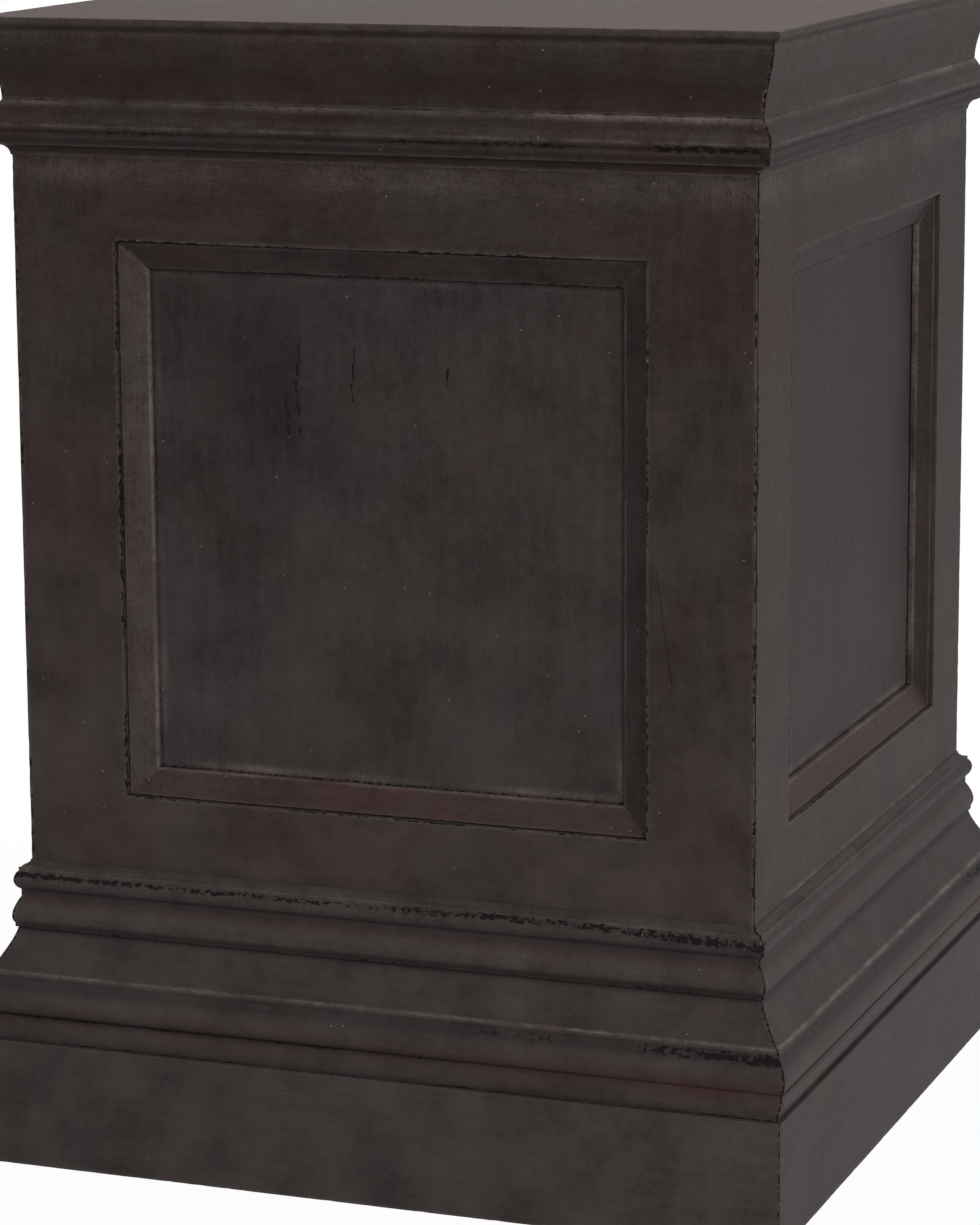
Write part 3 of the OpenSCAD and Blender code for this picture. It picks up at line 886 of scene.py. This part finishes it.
# Old linseed putty, gone hard, near black with a red-brown cast and a dull grain.
putty = bpy.data.materials.new("old_linseed_putty")
putty.use_nodes = True
t = putty.node_tree
t.nodes.clear()
crumbs = add(t, "ShaderNodeTexNoise", {
    "Vector": add(t, "ShaderNodeTexCoord").outputs["Object"], "Scale": 700.0, "Detail": 4.0,
}).outputs["Fac"]
putty_colour = add(t, "ShaderNodeMix", {
    0: add(t, "ShaderNodeMapRange", {"Value": crumbs, "From Min": 0.35, "From Max": 0.7}),
    6: linear("#0B0505"), 7: linear("#251313"),
}, data_type="RGBA").outputs[2]
putty_bump = add(t, "ShaderNodeBump", {"Height": crumbs, "Strength": 0.8, "Distance": 0.0006})
add(t, "ShaderNodeOutputMaterial", {"Surface": add(t, "ShaderNodeBsdfPrincipled", {
    "Base Color": putty_colour, "Roughness": 0.6, "IOR": 1.48, "Specular IOR Level": 0.15,
    "Normal": putty_bump,
})})
scab_mesh.materials.append(putty)
filler = bpy.data.objects.new("neck_corner_filler", scab_mesh)
bpy.context.scene.collection.objects.link(filler)
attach(filler, "root")

# ---- Cap moulding ----------------------------------------------------------------------------
# A tall, shallow ogee that swells towards the top board, planted on and mitred. Its near
# mitre has opened to a wavering black crack.

cap_low, cap_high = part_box("front_cap_moulding")
cap_foot = cap_low[2]
cap_tall = cap_high[2] - cap_foot
cap_top_out = -die_half - cap_low[1]
# its top is let a little way into the board, so no daylight shows between them
cap_lap = 0.0004
cap_outline = [
    (
        cap_foot_out + (cap_top_out - cap_foot_out) * (1 - math.cos(math.pi * i / 30)) / 2,
        (cap_tall + cap_lap) * i / 30,
    )
    for i in range(31)
]


def cap_stains_and_painted_light(p, side):
    """Darker and redder towards its foot, dusty at its head, and black there at the right. The right
    side is painted paler all over: painted light for the side that faces the lamp.
    """
    x = p[:, 0]
    z = (p[:, 2] - cap_foot) / cap_tall
    black = (0.01 + 0.3 * np.clip(x / 0.18, 0, 1) ** 4) * drift(x, side + 1.5) * bell(z, 0.995, 0.02)
    # the right side paler all over: painted light
    pale = 0.12 * bell(z, 0.97, 0.05) + 0.09 * (side == 1)
    return black, pale, 0.16 * bell(z, 0.3, 0.25), 0.25 * bell(z, 0.35, 0.3)


def cap_head(p, side):
    """Nothing where the cap and the board's foot lie level, one elsewhere."""
    return np.where(np.abs(p[:, 2] - cap_foot - cap_tall) < 0.0012, 0.0, 1.0)


for side, side_name in enumerate(SIDES):
    planted(
        f"{side_name}_cap_moulding", "painted_moulding", cap_outline, cap_foot, side,
        side * 10.0 + 41, moulding_paint, cap_stains_and_painted_light, flush=cap_head,
    )

# ---- Top board -------------------------------------------------------------------------------
# A thin pine board, 389 mm square, with a rounded edge, lies on the carcass and the cap. Its
# top is painted a lighter mauve grey than the sides: painted light, for the sheen and the light
# from above that an upward face catches.

# the top's paint is a lighter copy of the sides' paint: painted light for an upward face
top_paint = worn_paint(
    "worn_oil_paint_dulled_top", "#443430", "#423632", "#584C4A", dashes=0.25, wax=0.3, haze=0.3,
    gloss=0.14,
)
board_low, board_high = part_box("top_board")
board_foot = board_low[2]
board_thin = board_high[2] - board_foot
board_out = board_high[0] - die_half
edge_radius = 0.0024
# its foot lies flush with the head of the cap
setback = board_out - cap_top_out
round_foot = board_thin - edge_radius
nosing = [
    (board_out - setback * (1 + math.cos(math.pi * i / 6)) / 2, round_foot * i / 6)
    for i in range(7)
]
nosing += arc(board_out - edge_radius, round_foot, edge_radius, 15, 90, 6)
board_section = [(-die_half, 0.0)] + nosing + [(-die_half, board_thin)]
quarters = []
for side in range(4):
    quarter = made_with(
        length_of_wood, section_mesh(spaced(board_section, 0.008, closed=False), closed=False),
        half_length=die_half, mitre_out=1.0, stations=110, seed=side + 50.0, ends=False,
    )
    quarter.transform(Matrix.Translation((0, -die_half, board_foot)) @ ALONG_X)
    quarter.transform(Matrix.Rotation(math.pi / 2 * side, 4, "Z"))
    quarters.append(quarter)

whole = bmesh.new()
for quarter in quarters:
    whole.from_mesh(quarter)
bmesh.ops.remove_doubles(whole, verts=whole.verts, dist=0.00001)
bmesh.ops.dissolve_degenerate(whole, edges=whole.edges, dist=0.000001)
bmesh.ops.recalc_face_normals(whole, faces=whole.faces)
board = bpy.data.meshes.new("board")
whole.to_mesh(board)
whole.free()
places = places_of(board)
# one board, so its grain runs from left to right right across it
board.attributes["grain"].data.foreach_set("vector", np.stack(
    [places[:, 0], places[:, 1] + places[:, 2], np.full(len(places), 5.0)], axis=1,
).astype(np.float32).ravel())
worn_top = fit_piece(
    "worn_top_board", "top_board", "painted_top", board, 0, Matrix.Identity(4), top_paint,
    wave=0.0002, bite=0.0006, flush=cap_head,
)
# its rounded edge keeps the cap's paint; only the upward faces get the lighter top paint, which is
# painted light
worn_top.data.materials.append(moulding_paint)
for face in worn_top.data.polygons:
    if face.normal.z < 0.86:
        face.material_index = 1

# ---- Base mouldings --------------------------------------------------------------------------
# Round the foot of the die: a round and an ovolo, a fillet, a flare, a bulge and a bead, run in
# one pine moulding, planted on and mitred. Feet have rubbed the lower round to its red
# undercoat, and black has stayed under each edge. Painted shade darkens the creases and the
# hollows under the fillet and the bead, and a painted highlight runs along the fillet's top edge.

base_paint = worn_paint(
    "worn_oil_paint_rubbed_base", "#2B2220", "#2D2826", "#484140", dust_foot=0.5, haze=0.15,
    dashes=0.6, tip=0.06, wax=0.35, cloud_size=0.06,
)
base_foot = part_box("front_base_moulding")[0][2]
torus_high = 0.0139
torus_foot_out = 0.0154
torus_out = 0.0192
ovolo_high = 0.0166
ovolo_out = -die_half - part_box("front_base_moulding")[0][1]
ovolo_foot = torus_high
quirk_foot = ovolo_foot + ovolo_high
fillet_foot = quirk_foot + 0.0012
flare_foot = fillet_foot + 0.0034
flare_high = 0.0186
step_foot = flare_foot + flare_high
bulge_foot = step_foot + 0.0021
bulge_high = 0.0131
sunk_foot = bulge_foot + bulge_high
base_bead_foot = sunk_foot + 0.0024
base_bead_high = 0.0118
ledge_foot = base_bead_foot + base_bead_high
ledge_high = ledge_height - base_foot - ledge_foot
base_outline = [
    (
        torus_foot_out + (torus_out - torus_foot_out) * math.sin(math.pi / 2 * i / 14),
        torus_high * i / 14,
    )
    for i in range(15)
]
base_outline.append((torus_out - 0.0003, torus_high + 0.0001))
for i in range(1, 17):
    t = (i / 16 - 0.4) / 0.6
    base_outline.append((ovolo_out - 0.0036 * t * t, ovolo_foot + ovolo_high * i / 16))
base_outline += [
    (0.0168, quirk_foot + 0.0003), (0.0167, fillet_foot - 0.0001), (0.0169, fillet_foot + 0.0002),
    (0.0170, fillet_foot + 0.0005), (0.0169, flare_foot - 0.0014), (0.0160, flare_foot - 0.0004),
]
for i in range(17):
    base_outline.append((
        0.0052 + 0.01 * (1 - i / 16) ** 1.3, flare_foot + flare_high * i / 16,
    ))
base_outline += [(0.0062, step_foot + 0.0002), (0.0063, step_foot + 0.0006)]
for i in range(17):
    t = i / 16
    if t < 0.28:
        out = 0.0075 - 0.0012 * ((0.28 - t) / 0.28) ** 2
    else:
        out = 0.0075 - 0.0037 * ((t - 0.28) / 0.72) ** 1.6
    base_outline.append((out, bulge_foot + bulge_high * t))
base_bead_middle = 0.0066 - base_bead_high / 2
start = -math.degrees(math.acos((0.0038 - base_bead_middle) / (base_bead_high / 2)))
base_outline += arc(
    base_bead_middle, base_bead_foot + base_bead_high / 2, base_bead_high / 2, start, 50, 16,
)
for i in range(9):
    base_outline.append((
        cove_out(0.0048, ledge_high, ledge_high * (1 - i / 8)), ledge_foot + ledge_high * i / 8,
    ))


def base_stains_and_painted_light(p, side):
    """What has gathered at each height: black under the edges, dust on them, red where rubbed.
    The shade is painted shade in the creases and under the fillet and the bead, and the pale
    line on the fillet's top edge and a faint pale band on the bulge are painted highlights.
    """
    x = p[:, 0]
    z = p[:, 2] - base_foot
    right = np.clip((x + 0.05) / 0.25, 0, 1)
    nose = base_bead_foot + base_bead_high / 2
    line = nose + 0.0026 + 0.0012 * bell(x, 0.09, 0.06) - 0.0024 * right ** 4
    black = (0.08 + 0.74 * right ** 2) * drift(x, side) * bell(z, quirk_foot - 0.0012, 0.0024)
    black += 0.3 * drift(x, side + 2.0) * bell(z, step_foot + 0.0004, 0.0012)
    along = 0.52 + 0.3 * bell(x, -0.19, 0.1) + 0.2 * right ** 2
    away = 1 - 0.6 * (side == 1)
    black += along * away * drift(x * 1.4, side + 5.0) ** 0.5 * bell(z, line, 0.0013 + 0.0012 * right)
    black += 0.4 * drift(x, side + 6.0) * bell(z, 0.0, 0.0009)
    black += (0.4 - 0.35 * right) * drift(x, side + 8.0) * bell(z, torus_high, 0.0012)
    # a painted highlight on the fillet's top edge, strongest on the lit right face
    lit = 1 + 0.8 * (side == 1)
    pale = 0.5 * lit * drift(x * 2.3, side + 4.0) * bell(z, flare_foot - 0.0009, 0.0006)
    pale += 0.3 * drift(x, side + 9.0) * bell(z, ledge_foot - 0.0004, 0.0014)
    # the first term is a faint painted highlight on the bulge's upper part
    pale += 0.08 * bell(z, bulge_foot + 0.008, 0.005) + 0.05 * right * bell(z, 0.006, 0.006)
    red = (0.3 + 0.3 * right) * drift(x * 3, side + 7.0) * bell(z, torus_high + 0.0002, 0.0052)
    red += 0.3 * drift(x, side + 3.0) * bell(z, sunk_foot - 0.0014, 0.0015)
    red += 0.3 * bell(z, step_foot + 0.0008, 0.0014) + 0.06 * drift(x, side) * bell(z, 0.004, 0.004)
    # painted shade: darker under the fillet and the bead, in the creases at the top of the flare and of
    # the lower round, and round the bead's black line towards the right
    shade = 0.35 * bell(z, quirk_foot - 0.002, 0.003) + 0.3 * bell(z, sunk_foot + 0.003, 0.0042)
    shade += 0.68 * bell(z, step_foot + 0.0007, 0.0023) + 0.35 * right * bell(z, line, 0.003)
    shade += (0.75 - 0.6 * right) * bell(z, torus_high + 0.0004, 0.0024)
    return black, pale, red, shade


def base_head(p, side):
    """Nothing at the moulding's thin upper edge, which the paint carries over on to the die."""
    return np.where(p[:, 2] > ledge_height - 0.0016, 0.0, 1.0)


def base_knocks(p, side):
    """Feet and brooms have knocked the bead, the fillet and, hardest, the lower round's corner."""
    x = p[:, 0]
    z = p[:, 2] - base_foot
    hard = 0.35 * bell(z, base_bead_foot + base_bead_high * 0.6, 0.004)
    hard += 0.3 * bell(z, flare_foot - 0.001, 0.0015)
    corner = bell(np.abs(x), die_half + 0.012, 0.012) * (np.sign(x) * np.cos(side * 1.3) > -0.5)
    hard += corner * (1.6 * bell(z, torus_high * 0.45, 0.006) + 0.9 * bell(z, flare_foot, 0.003))
    return hard


for side, side_name in enumerate(SIDES):
    planted(
        f"{side_name}_base_moulding", "painted_base", base_outline, base_foot, side,
        side * 10.0 + 61, base_paint, base_stains_and_painted_light, bite=0.0009,
        knocks=base_knocks, flush=base_head,
    )

# ---- Plinth boards ---------------------------------------------------------------------------
# Four pine boards, 62 by 18 mm, are planted on the foot of the die and mitred. They stand
# on the floor, so they carry the most dust, and chips along their lower arris.

plinth_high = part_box("front_plinth_board")[1][2]
plinth_out = -die_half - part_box("front_plinth_board")[0][1]
plinth_outline = eased(
    [(0.0, 0.0), (plinth_out, 0.0), (plinth_out, plinth_high), (0.0, plinth_high)], (0.0006,) * 4,
)


def plinth_stains(p, side):
    """A little dust towards the near corner."""
    return 0.0, 0.09 * np.clip(p[:, 0] / 0.2, 0, 1), 0.0, 0.0


def plinth_head(p, side):
    """The upper edge is tucked under the moulding, so it is hardly worn."""
    return np.where(p[:, 2] > plinth_high - 0.0015, 0.2, 1.0)


for side, side_name in enumerate(SIDES):
    node = f"{side_name}_plinth_board"
    wood = made_with(
        length_of_wood, section_mesh(spaced(plinth_outline, 0.003)),
        half_length=die_half + 0.0001, mitre_out=1.0, stations=140, seed=side * 10.0 + 71, ends=True,
    )
    to_front = Matrix.Translation((0, -die_half, 0)) @ ALONG_X
    fit_piece(
        "worn_" + node, node, "painted_base", wood, side, to_front, base_paint, plinth_stains,
        bite=0.0006, end_bite=0.5, flush=plinth_head,
    )

# ---- Floor, studio light and camera ----------------------------------------------------------
# A plain white floor that runs out into white all round, and soft boxes to the right, to the
# left and above.


def seen_directly(tree):
    """One for what the camera sees, itself, mirrored or through glass; nothing for soft light."""
    ray = add(tree, "ShaderNodeLightPath").outputs
    plain = add(tree, "ShaderNodeMath", {
        0: ray["Is Camera Ray"], 1: ray["Is Glossy Ray"],
    }, operation="ADD")
    return add(tree, "ShaderNodeMath", {
        0: plain, 1: ray["Is Transmission Ray"],
    }, operation="ADD", use_clamp=True)


bpy.ops.mesh.primitive_circle_add(vertices=96, radius=7.0, fill_type="NGON", location=(0, 0, -0.0003))
floor = bpy.context.object
floor.name = "studio_floor"
card = bpy.data.materials.new("white_studio_floor")
card.use_nodes = True
t = card.node_tree
t.nodes.clear()
seen = seen_directly(t)
away = add(t, "ShaderNodeVectorMath", {
    0: add(t, "ShaderNodeTexCoord").outputs["Object"],
}, operation="LENGTH").outputs["Value"]
whiter = add(t, "ShaderNodeMapRange", {
    "Value": away, "From Min": 0.30, "From Max": 0.75, "To Min": 0.955, "To Max": 1.0,
}, interpolation_type="SMOOTHSTEP").outputs[0]
white_part = add(t, "ShaderNodeMath", {0: whiter, 1: seen}, operation="MULTIPLY")
matt = add(t, "ShaderNodeBsdfDiffuse", {"Color": linear("#EDEDED")})
glow = add(t, "ShaderNodeEmission", {"Color": linear("#FFFFFF"), "Strength": 1.0})
mixed = add(t, "ShaderNodeMixShader", {0: white_part, 1: matt, 2: glow})
add(t, "ShaderNodeOutputMaterial", {"Surface": mixed})
floor.data.materials.append(card)

studio = bpy.data.worlds.new("studio")
bpy.context.scene.world = studio
studio.use_nodes = True
t = studio.node_tree
t.nodes.clear()
level = add(t, "ShaderNodeMapRange", {
    "Value": seen_directly(t), "To Min": 0.297, "To Max": 1.0,
}).outputs[0]
sky = add(t, "ShaderNodeBackground", {"Color": linear("#FFFFFF"), "Strength": level})
add(t, "ShaderNodeOutputWorld", {"Surface": sky})

for lamp_name, watts, size, spot in (
    ("soft_box_right", 93.0, 1.8, (2.55, -2.12, 1.9)),
    ("soft_box_left", 8.0, 2.0, (-2.2, -2.4, 1.4)),
    ("soft_box_above", 14.0, 1.6, (0.2, 0.3, 2.8)),
):
    lamp = bpy.data.lights.new(lamp_name, "AREA")
    lamp.energy = watts
    lamp.size = size
    lamp.color = (1.0, 0.965, 1.0) if watts > 50 else (1.0, 1.0, 1.0)
    holder = bpy.data.objects.new(lamp_name, lamp)
    holder.location = spot
    aim = Vector((0, 0, 0.28)) - Vector(spot)
    holder.rotation_euler = aim.to_track_quat("-Z", "Y").to_euler()
    bpy.context.scene.collection.objects.link(holder)

yaw = math.radians(20.58)
pitch = math.radians(11.54)
roll = math.radians(-0.36)
forward = Vector((-math.sin(yaw) * math.cos(pitch), math.cos(yaw) * math.cos(pitch), -math.sin(pitch)))
level_right = Vector((math.cos(yaw), math.sin(yaw), 0.0))
level_up = level_right.cross(forward)
right = math.cos(roll) * level_right + math.sin(roll) * level_up
up = -math.sin(roll) * level_right + math.cos(roll) * level_up
eye = bpy.data.cameras.new("eye")
eye.sensor_width = 36.0
eye.lens = 127.6
eye.clip_end = 50.0
camera = bpy.data.objects.new("eye", eye)
camera.matrix_world = Matrix((
    (right.x, up.x, -forward.x, 0.7374),
    (right.y, up.y, -forward.y, -1.9998),
    (right.z, up.z, -forward.z, 0.6816),
    (0, 0, 0, 1),
))
bpy.context.scene.collection.objects.link(camera)
bpy.context.scene.camera = camera
bpy.context.scene.view_settings.view_transform = "Standard"
